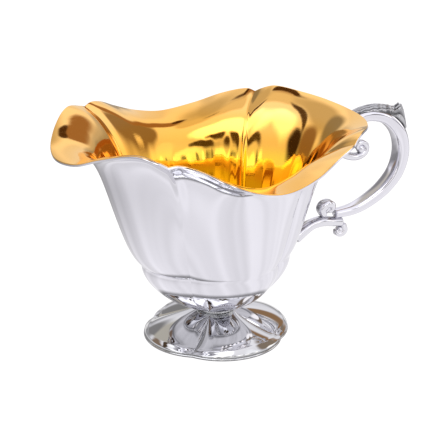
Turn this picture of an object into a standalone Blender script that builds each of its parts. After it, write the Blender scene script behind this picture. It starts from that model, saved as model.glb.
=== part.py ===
"""Silver sauce boat: a lobed gilt-lined bowl on a pedestal foot, with a cast scroll handle.

Sizes are in millimetres and MM turns them into metres. +Z is up, the handle is towards +X and
the pouring lip towards -X, and the boat is symmetric about the XZ plane. Every piece is modelled
about the bowl's own axis and is parented to one empty, which puts the middle of the boat's
length over the origin and its foot on z = 0.
"""

import math
from collections import namedtuple

import bmesh
import bpy

MM = 0.001

# Driving dimensions
BOWL_AXIS_X = -14.06
SHELL_WALL = 0.9
GILT_WALL = 0.4
SEAM_GAP = 0.3
RING_Z = 41.0
BOWL_BASE_Z = 15.6
BOWL_BASE_R = 9.0
FOOT_TOP_Z = 12.8
FOOT_TOP_R = 9.5
FOOT_WALL = 1.0
FOOT_WIRE_HEIGHT = 1.2
COLLAR_R = 10.4
HANDLE_WIDTH_TO_DEPTH = 1.2

# Mesh fineness
COLUMNS_PER_HALF_LOBE = 6
WALL_ROWS = 14
DISH_ROWS = 5
FOOT_ROWS = 7
TURNED_STEPS = 40
MERGE = 0.00001
SHARP_ANGLE = math.radians(40.0)

# One upright section of the bowl. The angles are seen from above, from the handle's side round to
# the lip. The wall starts at the ring, leaves it at rise_slope and reaches the rim at lip_slope.
Section = namedtuple(
    "Section", "ring_angle rim_angle ring_r wall_r rise_slope rise lip_slope lip"
)
BOWL_SECTIONS = (
    Section(0.0, 0.0, 40.0, 41.4, 75.0, 49.0, 10.0, 15.0),  # back lobe
    Section(43.0, 47.4, 34.0, 34.2, 77.0, 50.0, 22.0, 26.0),  # back fold
    Section(90.0, 89.9, 35.6, 36.2, 82.0, 52.0, 4.0, 28.0),  # side lobe
    Section(137.0, 132.3, 34.0, 34.2, 70.0, 45.0, 28.0, 17.5),  # front fold
    Section(180.0, 180.0, 39.8, 42.0, 67.5, 50.0, -15.0, 26.0),  # pouring lip
)
RING_FILLET = 0.035

# The rim's outline, lobe by lobe, as (place, radius, height). Place counts the sections above, so
# it is 0 behind, 1 at the back fold, 2 at the side, 3 at the front fold and 4 at the lip.
RIM_BACK = (
    (0.0, 75.5, 107.0),
    (0.55, 74.0, 109.0),
    (0.82, 72.3, 110.7),
    (0.93, 71.1, 109.0),
    (1.0, 70.6, 106.9),
)
RIM_SIDE = (
    (1.0, 70.6, 106.9),
    (1.09, 71.7, 108.0),
    (1.33, 70.7, 105.4),
    (1.63, 71.2, 100.0),
    (1.97, 72.6, 96.5),
    (2.24, 74.2, 98.5),
    (2.49, 73.8, 103.5),
    (2.73, 72.0, 109.0),
    (2.9, 71.9, 111.0),
    (3.0, 72.4, 110.0),
)
RIM_LIP = (
    (3.0, 72.4, 110.0),
    (3.08, 72.2, 111.6),
    (3.26, 74.9, 113.9),
    (3.52, 77.7, 109.9),
    (3.75, 80.7, 104.6),
    (4.0, 82.5, 103.0),
)

# The foot's dome as Bezier profiles (radius, height) from its flat top to its edge
FOOT_LOBE = ((FOOT_TOP_R, FOOT_TOP_Z), (20.0, 10.6), (33.4, 5.6), (37.3, 2.6))
FOOT_FOLD = ((FOOT_TOP_R, FOOT_TOP_Z), (18.0, 9.5), (30.0, 3.2), (35.6, 2.3))
FOOT_WIRE_WIDTH = 2.2
FOOT_WIRE_PROUD = 0.4

# Routes in the XZ plane, as (x from the bowl's axis, z, radius)
LOOP_ROUTE = (
    (64.7, 95.3, 3.2),
    (70.7, 99.9, 3.2),
    (79.0, 103.4, 3.0),
    (88.0, 104.1, 3.0),
    (97.5, 101.0, 3.3),
    (104.8, 93.0, 3.6),
    (107.3, 82.5, 3.7),
    (104.6, 71.5, 3.6),
    (97.5, 63.0, 3.4),
    (88.0, 57.0, 3.1),
    (79.0, 53.6, 2.7),
    (68.6, 52.7, 2.2),
)
UPPER_SCROLL_ROUTE = (
    (59.6, 92.6, 2.3),
    (65.6, 88.4, 2.3),
    (71.0, 85.4, 2.2),
    (76.0, 83.2, 2.1),
    (81.0, 82.6, 1.9),
    (84.9, 84.6, 1.7),
    (85.4, 88.0, 1.5),
    (82.8, 89.8, 1.4),
    (80.4, 88.6, 1.2),
    (80.6, 86.7, 1.1),
)
LOWER_SCROLL_ROUTE = (
    (61.2, 53.3, 1.7),
    (59.7, 56.4, 1.8),
    (61.0, 59.0, 1.8),
    (64.0, 59.8, 1.7),
    (66.5, 58.2, 1.5),
    (66.2, 55.6, 1.2),
    (64.3, 55.0, 1.0),
)
BRACKET_ROUTE = (
    (45.0, 43.7, 3.4),
    (50.0, 47.0, 3.0),
    (55.0, 49.2, 2.5),
    (61.0, 49.8, 2.1),
    (67.0, 48.7, 1.7),
    (71.8, 48.0, 1.6),
)
PENDANT_ROUTE = (
    (73.2, 46.2, 1.5),
    (73.9, 43.1, 1.5),
    (72.0, 41.2, 1.5),
    (69.7, 41.6, 1.3),
    (69.3, 43.4, 1.1),
)
ROUTE_POINTS_PER_SPAN = 4

# The leaf lies over the loop between two of its route's spans. Its crest, as (share of the leaf, x
# from the bowl's axis, z), rises into the thumb tip and then falls to the loop again.
LEAF_SPANS = (1.75, 5.0)
LEAF_CREST = (
    (0.0, 76.2, 107.4),
    (0.2, 82.5, 109.0),
    (0.4, 89.5, 109.5),
    (0.6, 96.5, 108.4),
    (0.75, 102.0, 107.0),
    (0.85, 105.3, 108.4),
    (0.93, 107.9, 102.5),
    (1.0, 109.3, 95.4),
)
LEAF_ROWS = 24
LEAF_COLUMNS = 8
LEAF_WRAP = 62.0
LEAF_GAP = 0.35
LEAF_EDGE_SHARE = 0.2

Finish = namedtuple("Finish", "colour roughness metallic")
SILVER = Finish((0.80, 0.79, 0.84, 1.0), 0.12, 1.0)
OXIDISED_SILVER = Finish((0.55, 0.54, 0.58, 1.0), 0.28, 1.0)
GILT = Finish((0.95, 0.66, 0.17, 1.0), 0.10, 1.0)


def clear_scene():
    for obj in list(bpy.data.objects):
        bpy.data.objects.remove(obj, do_unlink=True)


def new_material(name, finish):
    material = bpy.data.materials.new(name)
    material.use_nodes = True
    shader = material.node_tree.nodes["Principled BSDF"]
    shader.inputs["Base Color"].default_value = finish.colour
    shader.inputs["Roughness"].default_value = finish.roughness
    shader.inputs["Metallic"].default_value = finish.metallic
    return material


def place(obj, finish, collection, axis):
    """Gives a finished object its material, its collection and its parent."""
    obj.data.materials.append(new_material(obj.name + "_finish", finish))
    collection.objects.link(obj)
    obj.parent = axis


def lerp(a, b, share):
    return a + (b - a) * share


def bezier(points, t):
    """A point on the cubic Bezier through four (radius, height) handles."""
    weights = ((1 - t) ** 3, 3 * t * (1 - t) ** 2, 3 * t * t * (1 - t), t**3)
    return tuple(sum(w * p[i] for w, p in zip(weights, points)) for i in range(2))


def lobe_weight(place_on_half):
    """1 in the middle of a lobe and 0 at a fold, so that lobes are round and folds stay sharp."""
    low = int(place_on_half)
    share = place_on_half - low
    from_lobe = 1.0 - share if low % 2 else share
    return 1.0 - from_lobe**2


def hermite(stations, x, flat_start=False, flat_end=False):
    """Reads the smooth curve through stations of (x, value, value) at x."""
    last = len(stations) - 1
    span = 0
    while span < last - 1 and x > stations[span + 1][0]:
        span += 1

    def slope(index, column):
        if (index == 0 and flat_start) or (index == last and flat_end):
            return 0.0
        before = stations[max(index - 1, 0)]
        after = stations[min(index + 1, last)]
        return (after[column] - before[column]) / (after[0] - before[0])

    here, there = stations[span], stations[span + 1]
    width = there[0] - here[0]
    t = (x - here[0]) / width
    values = []
    for column in (1, 2):
        values.append(
            (2 * t**3 - 3 * t**2 + 1) * here[column]
            + (t**3 - 2 * t**2 + t) * width * slope(span, column)
            + (3 * t**2 - 2 * t**3) * there[column]
            + (t**3 - t**2) * width * slope(span + 1, column)
        )
    return values


def rim_at(place_on_half):
    if place_on_half <= 1.0:
        return hermite(RIM_BACK, place_on_half, flat_start=True)
    if place_on_half <= 3.0:
        return hermite(RIM_SIDE, place_on_half)
    return hermite(RIM_LIP, place_on_half, flat_end=True)


def bowl_section(place_on_half):
    low = min(int(place_on_half), len(BOWL_SECTIONS) - 2)
    share = place_on_half - low
    here, there = BOWL_SECTIONS[low], BOWL_SECTIONS[low + 1]
    lobe, fold = (there, here) if low % 2 else (here, there)
    weight = lobe_weight(place_on_half)
    angles = (
        lerp(here.ring_angle, there.ring_angle, share),
        lerp(here.rim_angle, there.rim_angle, share),
    )
    return Section(*angles, *(lerp(f, l, weight) for f, l in zip(fold[2:], lobe[2:])))


def around(radius, degrees, height):
    angle = math.radians(degrees)
    return (radius * math.cos(angle), radius * math.sin(angle), height)


def dish_point(section, share):
    """The underside, from the flat base out to the ring."""
    ring_r = section.ring_r
    profile = (
        (BOWL_BASE_R, BOWL_BASE_Z),
        (20.0, 15.6),
        (ring_r - 4.2, 31.5),
        (ring_r, RING_Z),
    )
    radius, height = bezier(profile, share)
    return around(radius, section.ring_angle, height)


def wall_point(section, rim, share):
    """The wall, from the ring up to the rim."""
    rise = math.radians(section.rise_slope)
    lip = math.radians(section.lip_slope)
    profile = (
        (section.wall_r, RING_Z),
        (
            section.wall_r + section.rise * math.cos(rise),
            RING_Z + section.rise * math.sin(rise),
        ),
        (rim[0] - section.lip * math.cos(lip), rim[1] - section.lip * math.sin(lip)),
        tuple(rim),
    )
    radius, height = bezier(profile, share)
    radius -= (section.wall_r - section.ring_r) * math.exp(-share / RING_FILLET)
    turn = share * (2.0 - share)
    return around(radius, lerp(section.ring_angle, section.rim_angle, turn), height)


def bowl_column(place_on_half):
    section = bowl_section(place_on_half)
    rim = rim_at(place_on_half)
    column = [dish_point(section, i / DISH_ROWS) for i in range(DISH_ROWS)]
    for i in range(WALL_ROWS + 1):
        share = (1.0 - math.cos(math.pi * i / WALL_ROWS)) / 2.0
        column.append(wall_point(section, rim, share))
    return column


def foot_column(place_on_half):
    weight = lobe_weight(place_on_half)
    edge_r = lerp(FOOT_FOLD[3][0], FOOT_LOBE[3][0], weight)
    edge_z = FOOT_WIRE_HEIGHT + SEAM_GAP
    column = [around(edge_r, 45.0 * place_on_half, edge_z)]
    for i in range(FOOT_ROWS, -1, -1):
        lobe = bezier(FOOT_LOBE, i / FOOT_ROWS)
        fold = bezier(FOOT_FOLD, i / FOOT_ROWS)
        radius, height = (lerp(f, l, weight) for f, l in zip(fold, lobe))
        column.append(around(radius, 45.0 * place_on_half, height))
    return column


def half_places():
    count = 4 * COLUMNS_PER_HALF_LOBE
    return [i / COLUMNS_PER_HALF_LOBE for i in range(count + 1)]


def grid_faces(bm, columns):
    """Joins equal columns of vertices with quads that face left of the way up."""
    for left, right in zip(columns, columns[1:]):
        for i in range(len(left) - 1):
            bm.faces.new((left[i], right[i], right[i + 1], left[i + 1]))


def half_skin(name, columns, pole, pole_first):
    """The y >= 0 half of an open skin, closed by a fan to one vertex on the axis."""
    bm = bmesh.new()
    rows = [[bm.verts.new([c * MM for c in p]) for p in column] for column in columns]
    centre = bm.verts.new([c * MM for c in pole])
    grid_faces(bm, rows)
    for left, right in zip(rows, rows[1:]):
        if pole_first:
            bm.faces.new((centre, right[0], left[0]))
        else:
            bm.faces.new((left[-1], right[-1], centre))
    mesh = bpy.data.meshes.new(name)
    bm.to_mesh(mesh)
    bm.free()
    mesh.shade_smooth()
    return bpy.data.objects.new(name, mesh)


def mirror_and_thicken(obj, wall, depth):
    """Mirrors a half skin in y and gives it a wall that starts depth below the skin."""
    mirror = obj.modifiers.new("other_side", "MIRROR")
    mirror.use_axis = (False, True, False)
    mirror.merge_threshold = MERGE
    solid = obj.modifiers.new("wall", "SOLIDIFY")
    solid.thickness = wall * MM
    solid.offset = -1.0 - 2.0 * depth / wall
    return obj


def bowl_skin(name):
    columns = [bowl_column(place_on_half) for place_on_half in half_places()]
    return half_skin(name, columns, (0.0, 0.0, BOWL_BASE_Z), pole_first=True)


def bowl_shell():
    return mirror_and_thicken(bowl_skin("bowl_shell"), SHELL_WALL, 0.0)


def gilt_lining():
    depth = SHELL_WALL + SEAM_GAP
    return mirror_and_thicken(bowl_skin("gilt_lining"), GILT_WALL, depth)


def pedestal_foot():
    columns = [foot_column(place_on_half) for place_on_half in half_places()]
    skin = half_skin(
        "pedestal_foot", columns, (0.0, 0.0, FOOT_TOP_Z), pole_first=False
    )
    return mirror_and_thicken(skin, FOOT_WALL, 0.0)


def foot_wire():
    """The flat wire that the boat stands on, following the foot's lobed edge."""
    bm = bmesh.new()
    sections = []
    places = half_places()
    mirrored = [8.0 - place_on_half for place_on_half in reversed(places[1:-1])]
    for place_round in places + mirrored:
        half = min(place_round, 8.0 - place_round)
        weight = lobe_weight(half)
        outer = lerp(FOOT_FOLD[3][0], FOOT_LOBE[3][0], weight) + FOOT_WIRE_PROUD
        inner = outer - FOOT_WIRE_WIDTH
        corners = (
            (outer, 0.0),
            (outer, FOOT_WIRE_HEIGHT),
            (inner, FOOT_WIRE_HEIGHT),
            (inner, 0.0),
        )
        angle = 45.0 * place_round
        points = [around(radius, angle, height) for radius, height in corners]
        sections.append([bm.verts.new([c * MM for c in p]) for p in points])
    for here, there in zip(sections, sections[1:] + sections[:1]):
        for i in range(4):
            j = (i + 1) % 4
            bm.faces.new((here[i], there[i], there[j], here[j]))
    mesh = bpy.data.meshes.new("foot_rim_wire")
    bm.to_mesh(mesh)
    bm.free()
    return bpy.data.objects.new("foot_rim_wire", mesh)


def foot_collar():
    """The turned collar between the foot and the bowl, as a profile swept about the axis."""
    top = BOWL_BASE_Z - SEAM_GAP
    bottom = FOOT_TOP_Z + SEAM_GAP
    profile = [(0.0, top), (BOWL_BASE_R - 0.4, top), (BOWL_BASE_R, top - 0.25)]
    bead_r = (top - bottom) / 2.0 - 0.25
    middle = (top + bottom) / 2.0
    for i in range(9):
        angle = math.radians(90.0 - 22.5 * i)
        centre_r = COLLAR_R - bead_r
        profile.append(
            (centre_r + bead_r * math.cos(angle), middle + bead_r * math.sin(angle))
        )
    profile += [(BOWL_BASE_R, bottom), (0.0, bottom)]
    mesh = bpy.data.meshes.new("foot_collar")
    points = [(radius * MM, 0.0, height * MM) for radius, height in profile]
    mesh.from_pydata(points, [(i, i + 1) for i in range(len(points) - 1)], [])
    collar = bpy.data.objects.new("foot_collar", mesh)
    screw = collar.modifiers.new("turned", "SCREW")
    screw.axis = "Z"
    screw.steps = TURNED_STEPS
    screw.render_steps = TURNED_STEPS
    screw.use_merge_vertices = True
    screw.merge_threshold = MERGE
    screw.use_smooth_shade = True
    return collar


def route_value(route, span):
    """A point (x, z, radius) on the Catmull-Rom curve through a route, at a span number."""
    low = min(int(span), len(route) - 2)
    t = span - low
    before = route[max(low - 1, 0)]
    here, there = route[low], route[low + 1]
    after = route[min(low + 2, len(route) - 1)]
    return tuple(
        0.5
        * (
            2 * here[k]
            + (there[k] - before[k]) * t
            + (2 * before[k] - 5 * here[k] + 4 * there[k] - after[k]) * t**2
            + (3 * here[k] - before[k] - 3 * there[k] + after[k]) * t**3
        )
        for k in range(3)
    )


def scroll_rod(name, route):
    """A cast rod of changing thickness, oval because the object is wider along y."""
    curve = bpy.data.curves.new(name, "CURVE")
    curve.dimensions = "3D"
    curve.bevel_depth = MM
    curve.bevel_resolution = 2
    curve.use_fill_caps = True
    spans = (len(route) - 1) * ROUTE_POINTS_PER_SPAN
    spline = curve.splines.new("POLY")
    spline.points.add(spans)
    for i in range(spans + 1):
        x, z, radius = route_value(route, i / ROUTE_POINTS_PER_SPAN)
        spline.points[i].co = (x * MM, 0.0, z * MM, 1.0)
        spline.points[i].radius = radius
    rod = bpy.data.objects.new(name, curve)
    rod.scale = (1.0, HANDLE_WIDTH_TO_DEPTH, 1.0)
    return rod


def leaf_section(share):
    """A closed section of the leaf: its hollow side round the loop, then its domed side back."""
    step = 0.01
    span = lerp(*LEAF_SPANS, share)
    x, z, radius = route_value(LOOP_ROUTE, span)
    ahead_x, ahead_z, _ = route_value(LOOP_ROUTE, span + step)
    length = math.hypot(ahead_x - x, ahead_z - z)
    out_x, out_z = (z - ahead_z) / length, (ahead_x - x) / length
    crest_x, crest_z = hermite(LEAF_CREST, share)
    rise_x = crest_x - x - out_x * (radius + LEAF_GAP)
    rise_z = crest_z - z - out_z * (radius + LEAF_GAP)
    fullness = math.sin(math.pi * lerp(0.1, 0.9, share)) ** 0.5
    hollow, domed = [], []
    for j in range(LEAF_COLUMNS + 1):
        across = 2.0 * j / LEAF_COLUMNS - 1.0
        wrap = math.radians(LEAF_WRAP * fullness * across)
        height = (radius + LEAF_GAP) * math.cos(wrap)
        width = (radius * HANDLE_WIDTH_TO_DEPTH + LEAF_GAP) * math.sin(wrap)
        dome = lerp(LEAF_EDGE_SHARE, 1.0, math.sqrt(1.0 - across**2))
        base = (x + out_x * height, width, z + out_z * height)
        hollow.append(base)
        domed.append((base[0] + rise_x * dome, width, base[2] + rise_z * dome))
    return hollow + domed[::-1]


def handle_leaf():
    bm = bmesh.new()
    sections = []
    for i in range(LEAF_ROWS + 1):
        points = leaf_section(i / LEAF_ROWS)
        sections.append([bm.verts.new([c * MM for c in p]) for p in points])
    for here, there in zip(sections, sections[1:]):
        for j in range(len(here)):
            k = (j + 1) % len(here)
            bm.faces.new((here[j], here[k], there[k], there[j]))
    bm.faces.new(sections[0][::-1])
    bm.faces.new(sections[-1])
    mesh = bpy.data.meshes.new("handle_leaf")
    bm.to_mesh(mesh)
    bm.free()
    mesh.shade_smooth()
    mesh.set_sharp_from_angle(angle=SHARP_ANGLE)
    return bpy.data.objects.new("handle_leaf", mesh)


def main():
    clear_scene()
    collection = bpy.data.collections.new("sauce_boat")
    bpy.context.scene.collection.children.link(collection)
    axis = bpy.data.objects.new("bowl_axis", None)
    axis.location = (BOWL_AXIS_X * MM, 0.0, 0.0)
    collection.objects.link(axis)
    pieces = (
        (bowl_shell(), SILVER),
        (gilt_lining(), GILT),
        (foot_collar(), SILVER),
        (pedestal_foot(), SILVER),
        (foot_wire(), SILVER),
        (scroll_rod("handle_loop", LOOP_ROUTE), SILVER),
        (handle_leaf(), OXIDISED_SILVER),
        (scroll_rod("upper_scroll", UPPER_SCROLL_ROUTE), SILVER),
        (scroll_rod("lower_scroll", LOWER_SCROLL_ROUTE), SILVER),
        (scroll_rod("lower_bracket", BRACKET_ROUTE), SILVER),
        (scroll_rod("bracket_pendant", PENDANT_ROUTE), SILVER),
    )
    for obj, finish in pieces:
        place(obj, finish, collection, axis)


main()
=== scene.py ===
"""Looks of the silver sauce boat: fine meshes, materials, floor, light and camera.

Sizes are in millimetres and MM turns them into metres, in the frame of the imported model: +Z is
up, the handle is towards +X and the pouring lip towards -X. Each piece stands for one CAD node.
It repeats that node's formulas on a finer mesh and adds mouldings, ridges, flutes, grooves and
veins.
"""

import math
from collections import namedtuple

import bmesh
import bpy
from mathutils import Matrix, Vector


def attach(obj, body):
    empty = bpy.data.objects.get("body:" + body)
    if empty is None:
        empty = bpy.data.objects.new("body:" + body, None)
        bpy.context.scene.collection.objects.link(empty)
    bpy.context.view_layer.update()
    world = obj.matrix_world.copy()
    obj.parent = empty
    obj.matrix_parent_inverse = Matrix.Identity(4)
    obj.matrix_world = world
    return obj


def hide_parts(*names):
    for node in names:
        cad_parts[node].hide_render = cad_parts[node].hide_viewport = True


MM = 0.001
BODY = "root"

# Sizes shared with the CAD model
BOWL_AXIS_X = -14.06
SHELL_WALL = 0.9
LINING_WALL = 0.4
RING_Z = 41.0
BOWL_BASE_Z = 15.6
BOWL_BASE_R = 9.0
FOOT_TOP_Z = 12.8
FOOT_TOP_R = 9.5
FOOT_WALL = 1.0
FOOT_WIRE_HEIGHT = 1.2
FOOT_WIRE_WIDTH = 2.2
FOOT_WIRE_PROUD = 0.4
WIDTH_TO_DEPTH = 1.2

Section = namedtuple(
    "Section", "ring_angle rim_angle ring_r wall_r rise_slope rise lip_slope lip"
)
BOWL_SECTIONS = (
    Section(0.0, 0.0, 40.0, 41.4, 75.0, 49.0, 10.0, 15.0),  # back lobe
    Section(43.0, 47.4, 34.0, 34.2, 77.0, 50.0, 22.0, 26.0),  # back fold
    Section(90.0, 89.9, 35.6, 36.2, 82.0, 52.0, 4.0, 28.0),  # side lobe
    Section(137.0, 132.3, 34.0, 34.2, 70.0, 45.0, 28.0, 17.5),  # front fold
    Section(180.0, 180.0, 39.8, 42.0, 67.5, 50.0, -15.0, 26.0),  # pouring lip
)

# The rim, lobe by lobe, as (place, radius, height): place is 0 behind, 2 at the side, 4 at the lip
RIM_BACK = (
    (0.0, 75.5, 107.0),
    (0.55, 74.0, 109.0),
    (0.82, 72.3, 110.7),
    (0.93, 71.1, 109.0),
    (1.0, 70.6, 106.9),
)
RIM_SIDE = (
    (1.0, 70.6, 106.9),
    (1.09, 71.7, 108.0),
    (1.33, 70.7, 105.4),
    (1.63, 71.2, 100.0),
    (1.97, 72.6, 96.5),
    (2.24, 74.2, 98.5),
    (2.49, 73.8, 103.5),
    (2.73, 72.0, 109.0),
    (2.9, 71.9, 111.0),
    (3.0, 72.4, 110.0),
)
RIM_LIP = (
    (3.0, 72.4, 110.0),
    (3.08, 72.2, 111.6),
    (3.26, 74.9, 113.9),
    (3.52, 77.7, 109.9),
    (3.75, 80.7, 104.6),
    (4.0, 82.5, 103.0),
)

# The foot has a lobe or a fold at every place, and the places are evenly spaced round it
DEGREES_PER_PLACE = 45.0
# The foot's dome as Bezier profiles (radius, height) from its flat top to its edge. It is a
# little fuller in its lobes and lower along its folds than the CAD's.
FOOT_LOBE = ((FOOT_TOP_R, FOOT_TOP_Z), (19.0, 11.6), (34.5, 8.4), (37.3, 2.4))
FOOT_FOLD = ((FOOT_TOP_R, FOOT_TOP_Z), (15.5, 7.8), (28.0, 3.3), (34.6, 1.9))

# Routes in the XZ plane, as (x from the bowl's axis, z, radius). The lower scroll, the bracket's
# far end and the pendant are a little fatter than the CAD's.
LOOP_ROUTE = (
    (64.7, 95.3, 3.2),
    (70.7, 99.9, 3.2),
    (79.0, 103.4, 3.0),
    (88.0, 104.1, 3.0),
    (97.5, 101.0, 3.3),
    (104.8, 93.0, 3.6),
    (107.3, 82.5, 3.7),
    (104.6, 71.5, 3.6),
    (97.5, 63.0, 3.4),
    (88.0, 57.0, 3.1),
    (79.0, 53.6, 2.7),
    (68.6, 52.7, 2.2),
)
UPPER_SCROLL_ROUTE = (
    (59.6, 92.6, 2.3),
    (65.6, 88.4, 2.3),
    (71.0, 85.4, 2.2),
    (76.0, 83.2, 2.1),
    (81.0, 82.6, 1.9),
    (84.9, 84.6, 1.7),
    (85.4, 88.0, 1.5),
    (82.8, 89.8, 1.4),
    (80.4, 88.6, 1.2),
    (80.6, 86.7, 1.1),
)
LOWER_SCROLL_ROUTE = (
    (61.4, 53.6, 2.0),
    (60.2, 56.4, 2.4),
    (61.4, 58.6, 2.4),
    (64.0, 59.2, 2.3),
    (66.3, 57.9, 2.0),
    (66.2, 55.6, 1.5),
    (64.3, 55.0, 1.1),
)
BRACKET_ROUTE = (
    (45.0, 43.7, 3.4),
    (50.0, 47.0, 3.0),
    (55.0, 49.2, 2.5),
    (61.0, 49.8, 2.3),
    (67.0, 48.7, 2.0),
    (71.8, 48.0, 1.9),
)
PENDANT_ROUTE = (
    (73.2, 46.2, 1.8),
    (73.7, 43.3, 2.1),
    (72.0, 41.6, 2.0),
    (69.9, 41.9, 1.7),
    (69.4, 43.6, 1.3),
)
LEAF_SPANS = (1.75, 5.0)
LEAF_CREST = (
    (0.0, 76.2, 107.4),
    (0.2, 82.5, 109.0),
    (0.4, 89.5, 109.5),
    (0.6, 96.5, 108.4),
    (0.75, 102.0, 107.0),
    (0.85, 105.3, 108.4),
    (0.93, 107.9, 102.5),
    (1.0, 109.3, 95.4),
)
LEAF_WRAP = 62.0
LEAF_GAP = 0.35
LEAF_EDGE_SHARE = 0.2

# Detail that only the looks have: mesh fineness
COLUMNS_PER_HALF_LOBE = 40
DISH_ROWS = 26
WALL_ROWS = 46
WALL_ROW_SPREAD = 1.6
FOOT_ROWS = 40
COLLAR_STEPS, COLLAR_COLUMNS = 48, 120
ROUTE_STEPS = 12
SECTION_POINTS = 44
CAP_STEPS, CAP_REACH = 6, 0.45
LEAF_ROWS = 110
LEAF_COLUMNS = 48
MERGE = 0.001
SHARP_ANGLE = math.radians(60.0)
WIRE_SHARP_ANGLE = math.radians(50.0)

# The bowl: its seams and edges, the dish under the ring, the ring's step, and the border's rows
# and bead, which are measured in from the rim
LINING_DEPTH = 0.95
SHEET_EDGE, LINING_EDGE = 0.3, 0.12
DISH_FLAT_R = 20.0
DISH_BULGE, DISH_BULGE_Z = 1.6, 30.5
RING_FILLET = 0.03
RING_CREASE = 1.2
WALL_ENDS_AT = 7.0
RIM_BORDER = (6.0, 5.2, 4.5, 4.0, 3.7, 3.4, 3.1, 2.8, 2.5, 2.2, 1.8, 1.3, 0.8, 0.4, 0.0)
BORDER_BEAD_AT, BORDER_BEAD_WIDTH, BORDER_BEAD_HEIGHT = 3.1, 0.6, 0.13

# The lining: a ridge down each fold, and flutes that are a sum of waves of (size, pace, start)
FOLD_RIDGE_HEIGHT, FOLD_RIDGE_WIDTH = 0.55, 0.02
FLUTE_DEPTH, FLUTES_PER_LOBE = 0.15, 9.0
FLUTES_RISE, FLUTES_END = 12.0, 0.8
FLUTE_WAVES = ((0.3, 1.0, 0.0), (0.2, 1.7, 1.0))

# The foot, its wire and the collar
FOOT_STEP_AT, FOOT_STEP_WIDTH, FOOT_STEP_HEIGHT = 0.86, 0.03, 0.2
FOOT_GROOVE_DEPTH, FOOT_GROOVE_WIDTH = 0.45, 0.035
FOOT_EDGE_LIFT = 0.05
WIRE_ROUND, WIRE_ROUND_STEPS = 0.5, 6
COLLAR_R = 8.7
COLLAR_LIFT, COLLAR_DROP = 0.15, 0.05
COLLAR_BEAD, COLLAR_BEAD_WIDTH = 1.7, 0.26
COLLAR_FILLET, COLLAR_FILLET_WIDTH = 0.55, 0.06

# The handle's sections: how square they are, and how wide and deep for the route's radius. Grooves
# are (place across, width, depth), and what is dark is how far a hollow is blackened.
LOOP_OUTER_POWER, LOOP_INNER_POWER = 2.5, 3.2
LOOP_WIDTH, LOOP_DEPTH, LOOP_INSET = 1.12, 1.04, 0.05
LOOP_GROOVES = ((0.66, 0.09, 0.10), (-0.66, 0.09, 0.10), (0.0, 0.12, 0.05))
STRUT_POWER, STRUT_GROWTH = 2.6, 0.3
STRUT_RIBS, STRUT_RIB_DEPTH, STRUT_RIB_FADE, STRUT_DARK = 3.0, 0.16, 0.6, 0.35
SCROLL_POWER, SCROLL_WIDTH = 2.4, 1.1
CHANNEL_WIDTH, CHANNEL_DEPTH, CHANNEL_DARK = 0.38, 0.2, 0.55

# The leaf
LEAF_TAPER = (0.1, 0.9)
LEAF_VEINS = 3.0
LEAF_VEIN_DEPTH = 0.5
LEAF_VEIN_LEAN = 0.25
LEAF_VEIN_FADE = 0.2
LEAF_MIDRIB_WIDTH = 0.05
LEAF_SCALLOPS = 7.0
LEAF_SCALLOP_DEPTH = 0.16

# The eyes of the scrolls, as (x from the bowl's axis, z, radius, half width)
UPPER_SCROLL_EYES = ((82.4, 86.4, 2.3, 2.7),)
LOWER_SCROLL_EYES = ((63.0, 56.6, 2.6, 2.3), (61.6, 58.0, 2.7, 3.3))
PENDANT_EYES = ((71.4, 43.4, 2.2, 2.4),)

# Noise textures as (stretch, scale, detail), and the band that holds most of their values
POLISHING_STROKES = ((1.0, 1.0, 9.0), 210.0, 6.0)
SILVER_CLOUDS = ((1.0, 1.0, 1.0), 34.0, 3.0)
GOLD_CLOUDS = ((1.0, 1.0, 1.0), 26.0, 3.0)
GOLD_CLOUDINESS = 0.12
NOISE_LOW, NOISE_HIGH = 0.35, 0.65
PIT_DEPTH = 0.3
WHITE = (1.0, 1.0, 1.0)

CAMERA_AZIMUTH, CAMERA_ELEVATION = -25.345, 20.978
CAMERA_DISTANCE = 0.7  # metres
CAMERA_TARGET_Z = 57.5
CAMERA_LENS, CAMERA_SENSOR = 114.545, 36.0
CAMERA_SHIFT = (0.00889, 0.01187)

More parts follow.
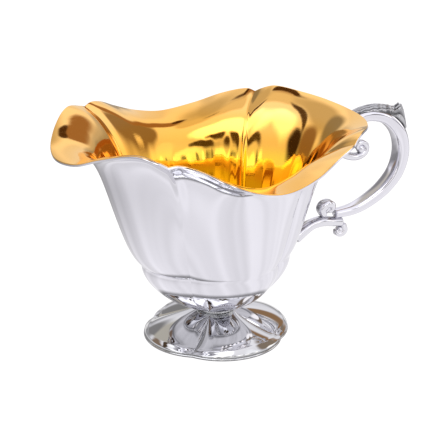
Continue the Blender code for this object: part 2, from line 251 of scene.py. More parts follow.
# The room that the metal mirrors: its light by height, from the horizon to overhead, and soft
# patches as (direction, half size in x, y and z on the unit sphere, colour), each over the last
SKY_BY_HEIGHT = (
    (0.0, 0.35),
    (0.10, 0.60),
    (0.24, 1.00),
    (0.62, 1.12),
    (1.0, 1.22),
)
SKY_PATCHES = (
    ((0.0, 0.27, 0.96), (0.36, 0.30, 0.40), (0.86, 0.80, 0.68)),
    ((-0.30, 0.64, 0.71), (0.58, 0.42, 0.60), (0.62, 0.58, 0.51)),
    ((-0.22, 0.90, 0.37), (0.42, 0.22, 0.40), (0.30, 0.29, 0.29)),
    ((0.42, 0.87, 0.26), (0.32, 0.24, 0.35), (0.92, 0.91, 0.96)),
    ((-0.78, 0.55, 0.30), (0.26, 0.36, 0.40), (0.30, 0.21, 0.15)),
    ((-0.56, 0.29, 0.78), (0.50, 0.085, 0.60), (0.10, 0.065, 0.04)),
    ((-0.90, 0.14, 0.41), (0.13, 0.26, 0.45), (0.05, 0.03, 0.02)),
    ((-0.64, -0.14, 0.75), (0.36, 0.36, 0.70), (2.10, 2.10, 2.15)),
    ((-0.30, -0.52, 0.80), (0.34, 0.34, 0.60), (2.60, 2.60, 2.65)),
    ((-0.44, -0.71, 0.55), (0.22, 0.085, 0.40), (0.10, 0.07, 0.03)),
    ((-0.19, -0.84, 0.51), (0.28, 0.08, 0.40), (0.10, 0.07, 0.03)),
    ((0.83, 0.0, 0.56), (0.25, 0.62, 0.80), (0.31, 0.24, 0.18)),
    ((0.56, 0.45, 0.70), (0.56, 0.17, 0.80), (0.36, 0.21, 0.11)),
    ((0.21, 0.52, 0.83), (0.16, 0.085, 0.40), (0.08, 0.04, 0.015)),
    ((0.58, -0.68, 0.45), (0.36, 0.22, 0.50), (1.30, 1.30, 1.35)),
    ((0.20, -0.93, 0.31), (0.45, 0.10, 0.40), (1.60, 1.60, 1.65)),
    ((0.95, -0.15, 0.27), (0.09, 0.40, 0.40), (1.80, 1.75, 1.70)),
)
# Narrow light and dark strips low in front, as (degrees to the right of -Y, level)
SKY_STRIPS = (
    (-40.0, 2.2),
    (-33.0, 0.25),
    (-26.0, 2.0),
    (-18.0, 0.3),
    (-10.0, 2.4),
    (-2.0, 0.3),
    (6.0, 2.2),
    (15.0, 0.3),
    (24.0, 2.0),
    (33.0, 0.3),
    (42.0, 2.2),
)
SKY_STRIP_HEIGHT = 0.2
SKY_STRIP_SIZE = (0.05, 0.30, 0.17)
SKY_TINT = (1.0, 0.985, 1.03)
SKY_STRIP_TINT = (1.0, 0.95, 0.9)
# How far out on a patch, as a share of its size, its full colour ends
SKY_PATCH_CORE = 0.55
# The floor as the metal mirrors it: its glow from streak to streak, how it fades behind the boat
# and to the left, and its painted shadow under the boat, as (start, end, level), in metres
FLOOR_GLOW = (0.82, 1.02)
FLOOR_STREAKS = 2.6
FLOOR_BEHIND = (0.0, 0.2, 0.3)
FLOOR_LEFT = (-0.06, -0.20, 0.66)
FLOOR_SHADOW_UNDER = (0.048, 0.038, 0.25)
FLOOR_RADIUS = 5.0  # metres
FLOOR_DROP = 0.2

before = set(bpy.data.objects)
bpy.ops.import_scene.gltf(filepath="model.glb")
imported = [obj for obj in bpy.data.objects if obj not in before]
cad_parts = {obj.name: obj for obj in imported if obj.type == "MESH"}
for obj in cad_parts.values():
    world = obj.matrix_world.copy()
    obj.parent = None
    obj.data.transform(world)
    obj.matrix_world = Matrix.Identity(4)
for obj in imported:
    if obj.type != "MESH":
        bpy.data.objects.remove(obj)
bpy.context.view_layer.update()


# Materials


def link(tree, source, socket, target, name):
    tree.links.new(source.outputs[socket], target.inputs[name])


def scaled_noise(tree, stretch, scale, detail):
    """Noise in the piece's own coordinates, stretched so that it reads as polishing strokes."""
    coordinates = tree.nodes.new("ShaderNodeTexCoord")
    mapping = tree.nodes.new("ShaderNodeMapping")
    mapping.inputs["Scale"].default_value = stretch
    noise = tree.nodes.new("ShaderNodeTexNoise")
    noise.inputs["Scale"].default_value = scale
    noise.inputs["Detail"].default_value = detail
    link(tree, coordinates, "Object", mapping, "Vector")
    link(tree, mapping, "Vector", noise, "Vector")
    return noise


def ranged(tree, source, socket, low, high):
    node = tree.nodes.new("ShaderNodeMapRange")
    node.inputs["From Min"].default_value = NOISE_LOW
    node.inputs["From Max"].default_value = NOISE_HIGH
    node.inputs["To Min"].default_value = low
    node.inputs["To Max"].default_value = high
    link(tree, source, socket, node, "Value")
    return node


def blended(tree, factor, socket, low, high):
    node = tree.nodes.new("ShaderNodeMix")
    node.data_type = "RGBA"
    node.inputs["A"].default_value = (*low, 1.0)
    node.inputs["B"].default_value = (*high, 1.0)
    link(tree, factor, socket, node, "Factor")
    return node


def colourless_metal(name, roughness, bump, edge_tint):
    """Metal with uneven gloss, polishing strokes and fine pits, still without its colour."""
    material = bpy.data.materials.new(name)
    material.use_nodes = True
    tree = material.node_tree
    shader = tree.nodes["Principled BSDF"]
    shader.inputs["Metallic"].default_value = 1.0
    shader.inputs["Specular Tint"].default_value = (*edge_tint, 1.0)
    strokes = scaled_noise(tree, *POLISHING_STROKES)
    gloss = ranged(tree, strokes, "Fac", *roughness)
    link(tree, gloss, "Result", shader, "Roughness")
    ripple = tree.nodes.new("ShaderNodeBump")
    ripple.inputs["Strength"].default_value = bump
    ripple.inputs["Distance"].default_value = PIT_DEPTH * MM
    link(tree, strokes, "Fac", ripple, "Height")
    link(tree, ripple, "Normal", shader, "Normal")
    return material, tree, shader


def polished_metal(name, low, high, roughness, bump):
    """Bright metal whose colour is slightly cloudy."""
    material, tree, shader = colourless_metal(name, roughness, bump, WHITE)
    clouds = scaled_noise(tree, *SILVER_CLOUDS)
    colour = blended(tree, clouds, "Fac", low, high)
    tree.links.new(colour.outputs["Result"], shader.inputs["Base Color"])
    return material


def cast_metal(name, bright, dark, roughness):
    """Cast metal, bright on its high points and blackened where the mesh marks a hollow."""
    material, tree, shader = colourless_metal(name, roughness, 0.04, WHITE)
    hollow = tree.nodes.new("ShaderNodeAttribute")
    hollow.attribute_name = "hollow"
    colour = blended(tree, hollow, "Fac", bright, dark)
    tree.links.new(colour.outputs["Result"], shader.inputs["Base Color"])
    return material


def gold_by_height(name, bands):
    """Gold whose tone goes from the bowl's floor to its rim as bands of (height share, colour), so
    that a band can hold painted shade.
    """
    material, tree, shader = colourless_metal(name, (0.04, 0.09), 0.02, (1.0, 0.96, 0.8))
    height = tree.nodes.new("ShaderNodeAttribute")
    height.attribute_name = "height_share"
    tone = tree.nodes.new("ShaderNodeValToRGB")
    tone.color_ramp.interpolation = "EASE"
    for _ in bands[2:]:
        tone.color_ramp.elements.new(0.5)
    for element, (position, colour) in zip(tone.color_ramp.elements, bands):
        element.position = position
        element.color = (*colour, 1.0)
    link(tree, height, "Fac", tone, "Fac")
    clouds = scaled_noise(tree, *GOLD_CLOUDS)
    cloudy = ranged(tree, clouds, "Fac", 0.0, GOLD_CLOUDINESS)
    rim_colour = bands[-1][1]
    tinted = blended(tree, cloudy, "Result", rim_colour, rim_colour)
    tree.links.new(tone.outputs["Color"], tinted.inputs["A"])
    tree.links.new(tinted.outputs["Result"], shader.inputs["Base Color"])
    return material


SILVER = polished_metal(
    "silver_plate", (0.735, 0.728, 0.785), (0.77, 0.762, 0.815), (0.02, 0.06), 0.012
)
# The foot, its wire and the collar get a darker, greyer copy of the silver plate. This is painted
# shade standing in for the darker reflections that the foot shows.
SHADED_FOOT_SILVER = polished_metal(
    "foot_silver_painted_shade", (0.63, 0.635, 0.645), (0.67, 0.675, 0.685), (0.02, 0.05), 0.012
)
# The gold's own colour is low in the bowl. The deeper amber bands from 0.72 of the height up to
# the rim are painted shade, standing in for the brown that the wall's concave turn shows.
GILT = gold_by_height(
    "gold_wash",
    (
        (0.0, (1.0, 0.66, 0.05)),
        (0.72, (1.0, 0.64, 0.05)),
        (0.82, (0.96, 0.48, 0.07)),
        (0.92, (1.0, 0.53, 0.11)),
        (1.0, (1.0, 0.59, 0.19)),
    ),
)
OXIDISED = cast_metal("oxidised_silver", (0.50, 0.50, 0.52), (0.015, 0.015, 0.02), (0.12, 0.24))
CAST_SILVER = cast_metal("cast_silver", (0.74, 0.735, 0.78), (0.03, 0.03, 0.035), (0.04, 0.10))


# Shapes


def lerp(a, b, share):
    return a + (b - a) * share


def bump_at(x, middle, width):
    return math.exp(-(((x - middle) / width) ** 2))


def bezier(points, t):
    weights = ((1 - t) ** 3, 3 * t * (1 - t) ** 2, 3 * t * t * (1 - t), t**3)
    return [sum(w * p[i] for w, p in zip(weights, points)) for i in range(2)]


def hermite(stations, x, flat_start=False, flat_end=False):
    """Reads the smooth curve through stations of (x, value, value) at x."""
    last = len(stations) - 1
    span = 0
    while span < last - 1 and x > stations[span + 1][0]:
        span += 1

    def slope(index, column):
        if (index == 0 and flat_start) or (index == last and flat_end):
            return 0.0
        before = stations[max(index - 1, 0)]
        after = stations[min(index + 1, last)]
        return (after[column] - before[column]) / (after[0] - before[0])

    here, there = stations[span], stations[span + 1]
    width = there[0] - here[0]
    t = (x - here[0]) / width
    return [
        (2 * t**3 - 3 * t**2 + 1) * here[column]
        + (t**3 - 2 * t**2 + t) * width * slope(span, column)
        + (3 * t**2 - 2 * t**3) * there[column]
        + (t**3 - t**2) * width * slope(span + 1, column)
        for column in (1, 2)
    ]


def around(radius, degrees, height):
    angle = math.radians(degrees)
    return (
        BOWL_AXIS_X + radius * math.cos(angle),
        radius * math.sin(angle),
        height,
    )


def lobe_weight(place):
    """1 in the middle of a lobe and 0 at a fold, so that lobes are round and folds stay sharp."""
    low = int(place)
    share = place - low
    from_lobe = 1.0 - share if low % 2 else share
    return 1.0 - from_lobe**2


def nearest_fold(place):
    return 1.0 if place < 2.0 else 3.0


def bowl_section(place):
    low = min(int(place), len(BOWL_SECTIONS) - 2)
    share = place - low
    here, there = BOWL_SECTIONS[low], BOWL_SECTIONS[low + 1]
    lobe, fold = (there, here) if low % 2 else (here, there)
    weight = lobe_weight(place)
    angles = (
        lerp(here.ring_angle, there.ring_angle, share),
        lerp(here.rim_angle, there.rim_angle, share),
    )
    return Section(*angles, *(lerp(f, l, weight) for f, l in zip(fold[2:], lobe[2:])))


def rim_at(place):
    if place <= 1.0:
        return hermite(RIM_BACK, place, flat_start=True)
    if place <= 3.0:
        return hermite(RIM_SIDE, place)
    return hermite(RIM_LIP, place, flat_end=True)


def dish_point(section, share):
    crease_r = section.ring_r - RING_CREASE
    profile = (
        (BOWL_BASE_R, BOWL_BASE_Z),
        (DISH_FLAT_R, BOWL_BASE_Z),
        (crease_r + DISH_BULGE, DISH_BULGE_Z),
        (crease_r, RING_Z),
    )
    radius, height = bezier(profile, share)
    return around(radius, section.ring_angle, height)


def flute_at(place):
    """Uneven shallow flutes, 0 to 1, left by the planishing of the lower wall."""
    turn = math.pi * FLUTES_PER_LOBE * place
    return 0.5 + sum(size * math.cos(pace * turn + start) for size, pace, start in FLUTE_WAVES)


def share_near_rim(section, from_rim):
    """The share of the way up the wall at a short distance from the rim."""
    return 1.0 - from_rim / (3.0 * section.lip)


def wall_point(section, rim, share, raised, bead_height):
    """A point of the wall at a share of the way up, with what is raised on it and its bead."""
    rise = math.radians(section.rise_slope)
    lip = math.radians(section.lip_slope)
    profile = (
        (section.wall_r, RING_Z),
        (
            section.wall_r + section.rise * math.cos(rise),
            RING_Z + section.rise * math.sin(rise),
        ),
        (rim[0] - section.lip * math.cos(lip), rim[1] - section.lip * math.sin(lip)),
        tuple(rim),
    )
    radius, height = bezier(profile, share)
    crease = section.wall_r - section.ring_r + RING_CREASE
    radius -= crease * math.exp(-share / RING_FILLET)
    from_rim = 3.0 * section.lip * (1.0 - share)
    bead = bead_height * bump_at(from_rim, BORDER_BEAD_AT, BORDER_BEAD_WIDTH)
    ridge, flute = raised
    radius += bead * math.sin(lip) - ridge * math.sin(math.pi * share) ** 0.5
    radius -= flute * max(0.0, 1.0 - share / FLUTES_END) * min(1.0, FLUTES_RISE * share)
    height -= bead * math.cos(lip)
    turn = share * (2.0 - share)
    return around(radius, lerp(section.ring_angle, section.rim_angle, turn), height)


def bowl_column(place, ridge_height, flute_depth, bead_height):
    """The bowl's profile at a place, from its floor to its rim."""
    section = bowl_section(place)
    ridge = ridge_height * bump_at(place, nearest_fold(place), FOLD_RIDGE_WIDTH)
    raised = (ridge, flute_depth * flute_at(place))
    rim = rim_at(place)
    column = [dish_point(section, i / DISH_ROWS) for i in range(DISH_ROWS)]
    border_starts = share_near_rim(section, WALL_ENDS_AT)
    for i in range(WALL_ROWS):
        share = border_starts * (i / (WALL_ROWS - 1)) ** WALL_ROW_SPREAD
        column.append(wall_point(section, rim, share, raised, bead_height))
    for from_rim in RIM_BORDER:
        share = share_near_rim(section, from_rim)
        column.append(wall_point(section, rim, share, raised, bead_height))
    return column


def foot_column(place):
    weight = lobe_weight(place)
    groove = FOOT_GROOVE_DEPTH * bump_at(place, nearest_fold(place), FOOT_GROOVE_WIDTH)
    edge_r = lerp(FOOT_FOLD[3][0], FOOT_LOBE[3][0], weight)
    column = [around(edge_r, DEGREES_PER_PLACE * place, FOOT_WIRE_HEIGHT + FOOT_EDGE_LIFT)]
    for i in range(FOOT_ROWS, -1, -1):
        share = i / FOOT_ROWS
        lobe = bezier(FOOT_LOBE, share)
        fold = bezier(FOOT_FOLD, share)
        radius, height = (lerp(f, l, weight) for f, l in zip(fold, lobe))
        height += FOOT_STEP_HEIGHT * bump_at(share, FOOT_STEP_AT, FOOT_STEP_WIDTH)
        height -= groove * math.sin(math.pi * share)
        column.append(around(radius, DEGREES_PER_PLACE * place, height))
    return column


def places_round():
    """Places right round the bowl, 0 to 8, closer together at the folds to keep them crisp."""
    places = []
    for half_lobe in range(8):
        for i in range(COLUMNS_PER_HALF_LOBE):
            turn = math.pi / 2.0 * i / COLUMNS_PER_HALF_LOBE
            share = 1.0 - math.cos(turn) if half_lobe % 2 else math.sin(turn)
            places.append(half_lobe + share)
    return places


def lobed_columns(column_at):
    """One column of points for each place, mirrored in y past the lip."""
    columns = []
    for place in places_round():
        if place <= 4.0:
            columns.append(column_at(place))
        else:
            columns.append([(x, -y, z) for x, y, z in column_at(8.0 - place)])
    return columns


def finish_piece(name, bm, material, node):
    mesh = bpy.data.meshes.new(name)
    bm.to_mesh(mesh)
    bm.free()
    mesh.shade_smooth()
    mesh.materials.append(material)
    piece = bpy.data.objects.new(name, mesh)
    bpy.context.scene.collection.objects.link(piece)
    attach(piece, BODY)
    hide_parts(node)
    return piece


def vertices_of(bm, points):
    return [bm.verts.new([c * MM for c in p]) for p in points]


def ring_faces(bm, columns):
    """Quads between columns that go right round, facing left of the way up."""
    for left, right in zip(columns, columns[1:] + columns[:1]):
        for i in range(len(left) - 1):
            bm.faces.new((left[i], right[i], right[i + 1], left[i + 1]))


def lobed_skin(column_at, pole, pole_first):
    bm = bmesh.new()
    columns = [vertices_of(bm, points) for points in lobed_columns(column_at)]
    centre = vertices_of(bm, [pole])[0]
    ring_faces(bm, columns)
    for left, right in zip(columns, columns[1:] + columns[:1]):
        if pole_first:
            bm.faces.new((centre, right[0], left[0]))
        else:
            bm.faces.new((left[-1], right[-1], centre))
    return bm


def thicken(piece, wall, depth, edge):
    """Gives a skin its wall, from depth below it, and rounds the wall's edges."""
    solid = piece.modifiers.new("wall", "SOLIDIFY")
    solid.thickness = wall * MM
    solid.offset = -1.0 - 2.0 * depth / wall
    bevel = piece.modifiers.new("round_edge", "BEVEL")
    bevel.width = edge * MM
    bevel.segments = 3
    bevel.limit_method = "ANGLE"
    bevel.angle_limit = SHARP_ANGLE


def bowl_body():
    def column_at(place):
        return bowl_column(place, 0.0, 0.0, BORDER_BEAD_HEIGHT)

    bm = lobed_skin(column_at, (BOWL_AXIS_X, 0.0, BOWL_BASE_Z), pole_first=True)
    piece = finish_piece("bowl_body", bm, SILVER, "bowl_shell")
    thicken(piece, SHELL_WALL, 0.0, SHEET_EDGE)


def gilt_inside():
    def column_at(place):
        return bowl_column(place, FOLD_RIDGE_HEIGHT, FLUTE_DEPTH, 0.0)

    bm = lobed_skin(column_at, (BOWL_AXIS_X, 0.0, BOWL_BASE_Z), pole_first=True)
    piece = finish_piece("gilt_inside", bm, GILT, "gilt_lining")
    rim = (RIM_LIP[-1][2] - BOWL_BASE_Z) * MM
    share = piece.data.attributes.new("height_share", "FLOAT", "POINT")
    levels = [(v.co.z - BOWL_BASE_Z * MM) / rim for v in piece.data.vertices]
    share.data.foreach_set("value", levels)
    thicken(piece, LINING_WALL, LINING_DEPTH, LINING_EDGE)


def foot_dome():
    bm = lobed_skin(foot_column, (BOWL_AXIS_X, 0.0, FOOT_TOP_Z), pole_first=False)
    piece = finish_piece("foot_dome", bm, SHADED_FOOT_SILVER, "pedestal_foot")
    thicken(piece, FOOT_WALL, 0.0, SHEET_EDGE)


def foot_wire():
    """The half-round wire that the boat stands on."""
    bm = bmesh.new()
    middle = FOOT_WIRE_HEIGHT / 2.0

    def column_at(place):
        edge_r = lerp(FOOT_FOLD[3][0], FOOT_LOBE[3][0], lobe_weight(place))
        outer = edge_r + FOOT_WIRE_PROUD
        profile = [(outer - FOOT_WIRE_WIDTH, 0.0), (outer - WIRE_ROUND, 0.0)]
        for i in range(WIRE_ROUND_STEPS + 1):
            angle = math.radians(-90.0 + 180.0 * i / WIRE_ROUND_STEPS)
            radius = outer - WIRE_ROUND + WIRE_ROUND * math.cos(angle)
            profile.append((radius, middle + middle * math.sin(angle)))
        profile.append((outer - FOOT_WIRE_WIDTH, FOOT_WIRE_HEIGHT))
        return [around(radius, DEGREES_PER_PLACE * place, height) for radius, height in profile]

    columns = [vertices_of(bm, points) for points in lobed_columns(column_at)]
    for here, there in zip(columns, columns[1:] + columns[:1]):
        for i in range(len(here)):
            j = (i + 1) % len(here)
            bm.faces.new((here[i], there[i], there[j], here[j]))
    bmesh.ops.remove_doubles(bm, verts=bm.verts, dist=MERGE * MM)
    bmesh.ops.recalc_face_normals(bm, faces=bm.faces)
    piece = finish_piece("foot_wire", bm, SHADED_FOOT_SILVER, "foot_rim_wire")
    piece.data.set_sharp_from_angle(angle=WIRE_SHARP_ANGLE)


def collar_rings():
    """The turned collar: a fat bead between two thin fillets."""
    bottom, top = FOOT_TOP_Z + COLLAR_LIFT, BOWL_BASE_Z - COLLAR_DROP
    profile = [(0.0, bottom)]
    for i in range(COLLAR_STEPS + 1):
        share = i / COLLAR_STEPS
        radius = COLLAR_R + COLLAR_BEAD * bump_at(share, 0.5, COLLAR_BEAD_WIDTH)
        for edge in (COLLAR_FILLET_WIDTH, 1.0 - COLLAR_FILLET_WIDTH):
            radius += COLLAR_FILLET * bump_at(share, edge, COLLAR_FILLET_WIDTH)
        profile.append((radius, lerp(bottom, top, share)))
    profile.append((0.0, top))
    bm = bmesh.new()
    columns = []
    for k in range(COLLAR_COLUMNS):
        points = [around(r, 360.0 * k / COLLAR_COLUMNS, z) for r, z in profile]
        columns.append(vertices_of(bm, points))
    ring_faces(bm, columns)
    bmesh.ops.remove_doubles(bm, verts=bm.verts, dist=MERGE * MM)
    piece = finish_piece("collar_rings", bm, SHADED_FOOT_SILVER, "foot_collar")
    piece.data.set_sharp_from_angle(angle=SHARP_ANGLE)


def route_value(route, span):
    """A point (x, z, radius) on the Catmull-Rom curve through a route, at a span number."""
    low = min(int(span), len(route) - 2)
    t = span - low
    before = route[max(low - 1, 0)]
    here, there = route[low], route[low + 1]
    after = route[min(low + 2, len(route) - 1)]
    return [
        0.5
        * (
            2 * here[k]
            + (there[k] - before[k]) * t
            + (2 * before[k] - 5 * here[k] + 4 * there[k] - after[k]) * t**2
            + (3 * here[k] - before[k] - 3 * there[k] + after[k]) * t**3
        )
        for k in range(3)
    ]


def route_frame(route, span):
    """A place on a route as (x, z, radius), its outward direction and its forward one."""
    step = 0.01
    last = len(route) - 1
    a = route_value(route, max(span - step, 0.0))
    b = route_value(route, min(span + step, last))
    length = math.hypot(b[0] - a[0], b[1] - a[1])
    forward = ((b[0] - a[0]) / length, (b[1] - a[1]) / length)
    return route_value(route, span), (-forward[1], forward[0]), forward


def rounded(angle, power):
    """A point of a unit superellipse: power 2 is round, and higher is squarer."""
    c, s = math.cos(angle), math.sin(angle)
    return (
        math.copysign(abs(c) ** (2.0 / power), c),
        math.copysign(abs(s) ** (2.0 / power), s),
    )


def loop_section(angle, _share):
    """Flat inside, softly squared outside, with a groove along each shoulder."""
    power = LOOP_OUTER_POWER if angle < math.pi else LOOP_INNER_POWER
    across, out = rounded(angle, power)
    if out > 0.0:
        out -= sum(depth * bump_at(across, place, width) for place, width, depth in LOOP_GROOVES)
    return LOOP_WIDTH * across, LOOP_DEPTH * out - LOOP_INSET, 0.0


def ribbed_section(angle, share):
    """A strap with three ribs along both faces, which fade towards its far end."""
    across, out = rounded(angle, STRUT_POWER)
    depth = STRUT_RIB_DEPTH * (1.0 - STRUT_RIB_FADE * share)
    valley = 0.5 - 0.5 * math.cos(2.0 * math.pi * (0.5 * STRUT_RIBS * across + 0.5))
    grown = 1.0 + STRUT_GROWTH * share
    dark = STRUT_DARK * valley * abs(out)
    return grown * across, grown * out * (1.0 - depth * valley), dark


def scroll_section(angle, _share):
    """A strap with raised edges and a shallow channel down its outer face."""
    across, out = rounded(angle, SCROLL_POWER)
    valley = bump_at(across, 0.0, CHANNEL_WIDTH)
    dark = CHANNEL_DARK * valley * abs(out)
    return SCROLL_WIDTH * across, out * (1.0 - CHANNEL_DEPTH * valley), dark


def swept(bm, hollow, route, section):
    """Sweeps a section along a route and rounds both ends."""
    spans = len(route) - 1
    steps = spans * ROUTE_STEPS
    stations = []
    for i in range(CAP_STEPS, 0, -1):
        tilt = math.radians(90.0 * i / (CAP_STEPS + 0.4))
        stations.append((0.0, -math.sin(tilt), math.cos(tilt)))
    stations += [(i / ROUTE_STEPS, 0.0, 1.0) for i in range(steps + 1)]
    for i in range(1, CAP_STEPS + 1):
        tilt = math.radians(90.0 * i / (CAP_STEPS + 0.4))
        stations.append((float(spans), math.sin(tilt), math.cos(tilt)))
    rings = []
    for span, ahead, scale in stations:
        (x, z, radius), outward, forward = route_frame(route, span)
        cap_reach = CAP_REACH * radius * ahead
        points = []
        for k in range(SECTION_POINTS):
            angle = 2.0 * math.pi * k / SECTION_POINTS
            across, out, dark = section(angle, span / spans)
            px = x + forward[0] * cap_reach + outward[0] * out * radius * scale
            pz = z + forward[1] * cap_reach + outward[1] * out * radius * scale
            width = across * radius * WIDTH_TO_DEPTH * scale
            points.append((BOWL_AXIS_X + px, width, pz))
            hollow.append(dark)
        rings.append(vertices_of(bm, points))
    for here, there in zip(rings, rings[1:]):
        for k in range(SECTION_POINTS):
            j = (k + 1) % SECTION_POINTS
            bm.faces.new((here[k], here[j], there[j], there[k]))
    bm.faces.new(rings[0][::-1])
    bm.faces.new(rings[-1])


def scroll_eye(bm, hollow, x, z, radius, width):
    """A domed eye in the middle of a scroll, seen from both sides."""
    made = bmesh.ops.create_uvsphere(bm, u_segments=28, v_segments=18, radius=1.0)
    place = Matrix.Translation(Vector((BOWL_AXIS_X + x, 0.0, z)) * MM)
    size = Matrix.Diagonal((radius * MM, width * MM, radius * MM, 1.0))
    bmesh.ops.transform(bm, matrix=place @ size, verts=made["verts"])
    hollow.extend([0.0] * len(made["verts"]))


def mark_hollows(piece, hollow):
    attribute = piece.data.attributes.new("hollow", "FLOAT", "POINT")
    attribute.data.foreach_set("value", hollow)


def swept_piece(name, route, section, node, material, eyes=()):
    bm = bmesh.new()
    hollow = []
    swept(bm, hollow, route, section)
    for place in eyes:
        scroll_eye(bm, hollow, *place)
    bmesh.ops.recalc_face_normals(bm, faces=bm.faces)
    piece = finish_piece(name, bm, material, node)
    mark_hollows(piece, hollow)


def leaf_ring(share):
    """A closed section of the leaf, its hollow side and then its veined side, with the marks."""
    span = lerp(*LEAF_SPANS, share)
    (x, z, radius), outward, _ = route_frame(LOOP_ROUTE, span)
    crest_x, crest_z = hermite(LEAF_CREST, share)
    rise_x = crest_x - x - outward[0] * (radius + LEAF_GAP)
    rise_z = crest_z - z - outward[1] * (radius + LEAF_GAP)
    fullness = math.sin(math.pi * lerp(*LEAF_TAPER, share)) ** 0.5
    scallop = 1.0 - LEAF_SCALLOP_DEPTH * abs(math.sin(math.pi * LEAF_SCALLOPS * share))
    inner, veined, marks = [], [], []
    for j in range(LEAF_COLUMNS + 1):
        across = 2.0 * j / LEAF_COLUMNS - 1.0
        wrap = math.radians(LEAF_WRAP * fullness * scallop * across)
        height = (radius + LEAF_GAP) * math.cos(wrap)
        width = (radius * WIDTH_TO_DEPTH + LEAF_GAP) * math.sin(wrap)
        dome = lerp(LEAF_EDGE_SHARE, 1.0, math.sqrt(1.0 - across**2))
        lean = LEAF_VEIN_LEAN * LEAF_SCALLOPS * share * math.copysign(1, across)
        valley = math.cos(math.pi * (across * LEAF_VEINS + lean)) ** 2
        valley *= 1.0 - LEAF_VEIN_FADE * abs(across)
        valley = max(valley, bump_at(across, 0.0, LEAF_MIDRIB_WIDTH))
        dip = 1.0 - LEAF_VEIN_DEPTH * valley
        base = (x + outward[0] * height, width, z + outward[1] * height)
        inner.append((BOWL_AXIS_X + base[0], base[1], base[2]))
        veined.append(
            (
                BOWL_AXIS_X + base[0] + rise_x * dome * dip,
                width,
                base[2] + rise_z * dome * dip,
            )
        )
        marks.append(valley)
    return inner + veined[::-1], [1.0] * len(inner) + marks[::-1]


def acanthus_leaf():
    bm = bmesh.new()
    hollow, rings = [], []
    for i in range(LEAF_ROWS + 1):
        points, marks = leaf_ring(i / LEAF_ROWS)
        rings.append(vertices_of(bm, points))
        hollow += marks
    for here, there in zip(rings, rings[1:]):
        for j in range(len(here)):
            k = (j + 1) % len(here)
            bm.faces.new((here[j], here[k], there[k], there[j]))
    bm.faces.new(rings[0][::-1])
    bm.faces.new(rings[-1])
    bmesh.ops.recalc_face_normals(bm, faces=bm.faces)
    piece = finish_piece("acanthus_leaf", bm, OXIDISED, "handle_leaf")
    mark_hollows(piece, hollow)
    piece.data.set_sharp_from_angle(angle=SHARP_ANGLE)


# Stage, light and camera


def studio_floor():
    mesh = bpy.data.meshes.new("floor")
    bm = bmesh.new()
    bmesh.ops.create_circle(bm, cap_ends=True, segments=96, radius=FLOOR_RADIUS)
    bm.to_mesh(mesh)
    bm.free()
    material = bpy.data.materials.new("pale_floor")
    material.use_nodes = True
    tree = material.node_tree
    shader = tree.nodes["Principled BSDF"]
    shader.inputs["Base Color"].default_value = (0.1, 0.1, 0.1, 1.0)
    shader.inputs["Roughness"].default_value = 0.9
    shader.inputs["Specular IOR Level"].default_value = 0.0
    shader.inputs["Emission Color"].default_value = (1.0, 0.99, 1.0, 1.0)
    place = tree.nodes.new("ShaderNodeTexCoord")
    outward = tree.nodes.new("ShaderNodeVectorMath")
    outward.operation = "NORMALIZE"
    link(tree, place, "Object", outward, "Vector")
    streaks = tree.nodes.new("ShaderNodeTexNoise")
    streaks.inputs["Scale"].default_value = FLOOR_STREAKS
    streaks.inputs["Detail"].default_value = 1.0
    link(tree, outward, "Vector", streaks, "Vector")
    streaked = ranged(tree, streaks, "Fac", *FLOOR_GLOW)
    parts = tree.nodes.new("ShaderNodeSeparateXYZ")
    link(tree, place, "Object", parts, "Vector")
    from_foot = tree.nodes.new("ShaderNodeVectorMath")
    from_foot.operation = "DISTANCE"
    from_foot.inputs[1].default_value = (BOWL_AXIS_X * MM, 0.0, 0.0)
    link(tree, place, "Object", from_foot, "Vector")
    mirrored = streaked.outputs["Result"]
    # The last fade darkens the floor's glow round the foot. It is a painted contact shadow.
    for source, socket, start, end, level in (
        (parts, "Y", *FLOOR_BEHIND),
        (parts, "X", *FLOOR_LEFT),
        (from_foot, "Value", *FLOOR_SHADOW_UNDER),
    ):
        fade = ranged(tree, source, socket, 1.0, level)
        fade.interpolation_type = "SMOOTHSTEP"
        fade.inputs["From Min"].default_value = start
        fade.inputs["From Max"].default_value = end
        faded = tree.nodes.new("ShaderNodeMath")
        faded.operation = "MULTIPLY"
        tree.links.new(mirrored, faded.inputs[0])
        tree.links.new(fade.outputs["Result"], faded.inputs[1])
        mirrored = faded.outputs["Value"]
    seen = tree.nodes.new("ShaderNodeLightPath")
    glow = tree.nodes.new("ShaderNodeMix")
    glow.inputs["B"].default_value = 1.0
    link(tree, seen, "Is Camera Ray", glow, "Factor")
    tree.links.new(mirrored, glow.inputs["A"])
    link(tree, glow, "Result", shader, "Emission Strength")
    mesh.materials.append(material)
    floor = bpy.data.objects.new("floor", mesh)
    floor.location.z = -FLOOR_DROP * MM
    bpy.context.scene.collection.objects.link(floor)


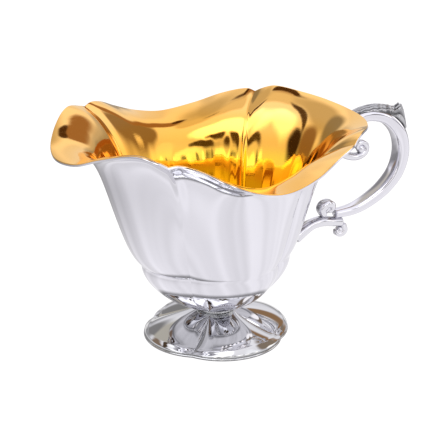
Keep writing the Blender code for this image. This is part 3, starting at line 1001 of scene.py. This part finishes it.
def studio_world():
    """A pale room, with soft light and dark patches in some directions and strips low in front."""
    world = bpy.data.worlds.new("studio")
    bpy.context.scene.world = world
    world.use_nodes = True
    tree = world.node_tree
    background = tree.nodes["Background"]
    coordinates = tree.nodes.new("ShaderNodeTexCoord")
    parts = tree.nodes.new("ShaderNodeSeparateXYZ")
    link(tree, coordinates, "Generated", parts, "Vector")
    sky = tree.nodes.new("ShaderNodeValToRGB")
    sky.color_ramp.interpolation = "EASE"
    for _ in SKY_BY_HEIGHT[2:]:
        sky.color_ramp.elements.new(0.5)
    for element, (position, level) in zip(sky.color_ramp.elements, SKY_BY_HEIGHT):
        element.position = position
        element.color = (*(level * tint for tint in SKY_TINT), 1.0)
    link(tree, parts, "Z", sky, "Fac")
    so_far = sky.outputs["Color"]
    strips = []
    for degrees, level in SKY_STRIPS:
        angle = math.radians(degrees)
        direction = (math.sin(angle), -math.cos(angle), SKY_STRIP_HEIGHT)
        colour = [level * tint for tint in SKY_STRIP_TINT]
        strips.append((direction, SKY_STRIP_SIZE, colour))
    for direction, half_size, colour in (*SKY_PATCHES, *strips):
        offset = tree.nodes.new("ShaderNodeVectorMath")
        offset.operation = "SUBTRACT"
        offset.inputs[1].default_value = Vector(direction).normalized()
        link(tree, coordinates, "Generated", offset, "Vector")
        shares = tree.nodes.new("ShaderNodeVectorMath")
        shares.operation = "DIVIDE"
        shares.inputs[1].default_value = half_size
        link(tree, offset, "Vector", shares, "Vector")
        reach = tree.nodes.new("ShaderNodeVectorMath")
        reach.operation = "LENGTH"
        link(tree, shares, "Vector", reach, "Vector")
        edge = tree.nodes.new("ShaderNodeMapRange")
        edge.interpolation_type = "SMOOTHSTEP"
        edge.inputs["From Min"].default_value = 1.0
        edge.inputs["From Max"].default_value = SKY_PATCH_CORE
        link(tree, reach, "Value", edge, "Value")
        patch = blended(tree, edge, "Result", colour, colour)
        tree.links.new(so_far, patch.inputs["A"])
        so_far = patch.outputs["Result"]
    seen = tree.nodes.new("ShaderNodeLightPath")
    shown = blended(tree, seen, "Is Camera Ray", WHITE, WHITE)
    tree.links.new(so_far, shown.inputs["A"])
    tree.links.new(shown.outputs["Result"], background.inputs["Color"])


def camera():
    azimuth, elevation = math.radians(CAMERA_AZIMUTH), math.radians(CAMERA_ELEVATION)
    right = Vector((math.cos(azimuth), math.sin(azimuth), 0.0))
    back = Vector(
        (
            math.sin(azimuth) * math.cos(elevation),
            -math.cos(azimuth) * math.cos(elevation),
            math.sin(elevation),
        )
    )
    up = back.cross(right)
    data = bpy.data.cameras.new("camera")
    data.sensor_width = CAMERA_SENSOR
    data.lens = CAMERA_LENS
    data.shift_x, data.shift_y = CAMERA_SHIFT
    data.clip_start, data.clip_end = 0.01, 50.0
    eye = bpy.data.objects.new("camera", data)
    turned = Matrix((right, up, back)).transposed().to_4x4()
    target = Vector((BOWL_AXIS_X * MM, 0.0, CAMERA_TARGET_Z * MM))
    turned.translation = target + back * CAMERA_DISTANCE
    eye.matrix_world = turned
    bpy.context.scene.collection.objects.link(eye)
    bpy.context.scene.camera = eye
    bpy.context.scene.view_settings.view_transform = "Standard"


camera()
studio_floor()
studio_world()

bowl_body()
gilt_inside()
foot_dome()
foot_wire()
collar_rings()
swept_piece("handle_bow", LOOP_ROUTE, loop_section, "handle_loop", SILVER)
acanthus_leaf()
swept_piece(
    "upper_curl",
    UPPER_SCROLL_ROUTE,
    scroll_section,
    "upper_scroll",
    CAST_SILVER,
    eyes=UPPER_SCROLL_EYES,
)
swept_piece(
    "lower_volute",
    LOWER_SCROLL_ROUTE,
    scroll_section,
    "lower_scroll",
    CAST_SILVER,
    eyes=LOWER_SCROLL_EYES,
)
swept_piece("strut", BRACKET_ROUTE, ribbed_section, "lower_bracket", CAST_SILVER)
swept_piece(
    "drop_curl",
    PENDANT_ROUTE,
    scroll_section,
    "bracket_pendant",
    CAST_SILVER,
    eyes=PENDANT_EYES,
)
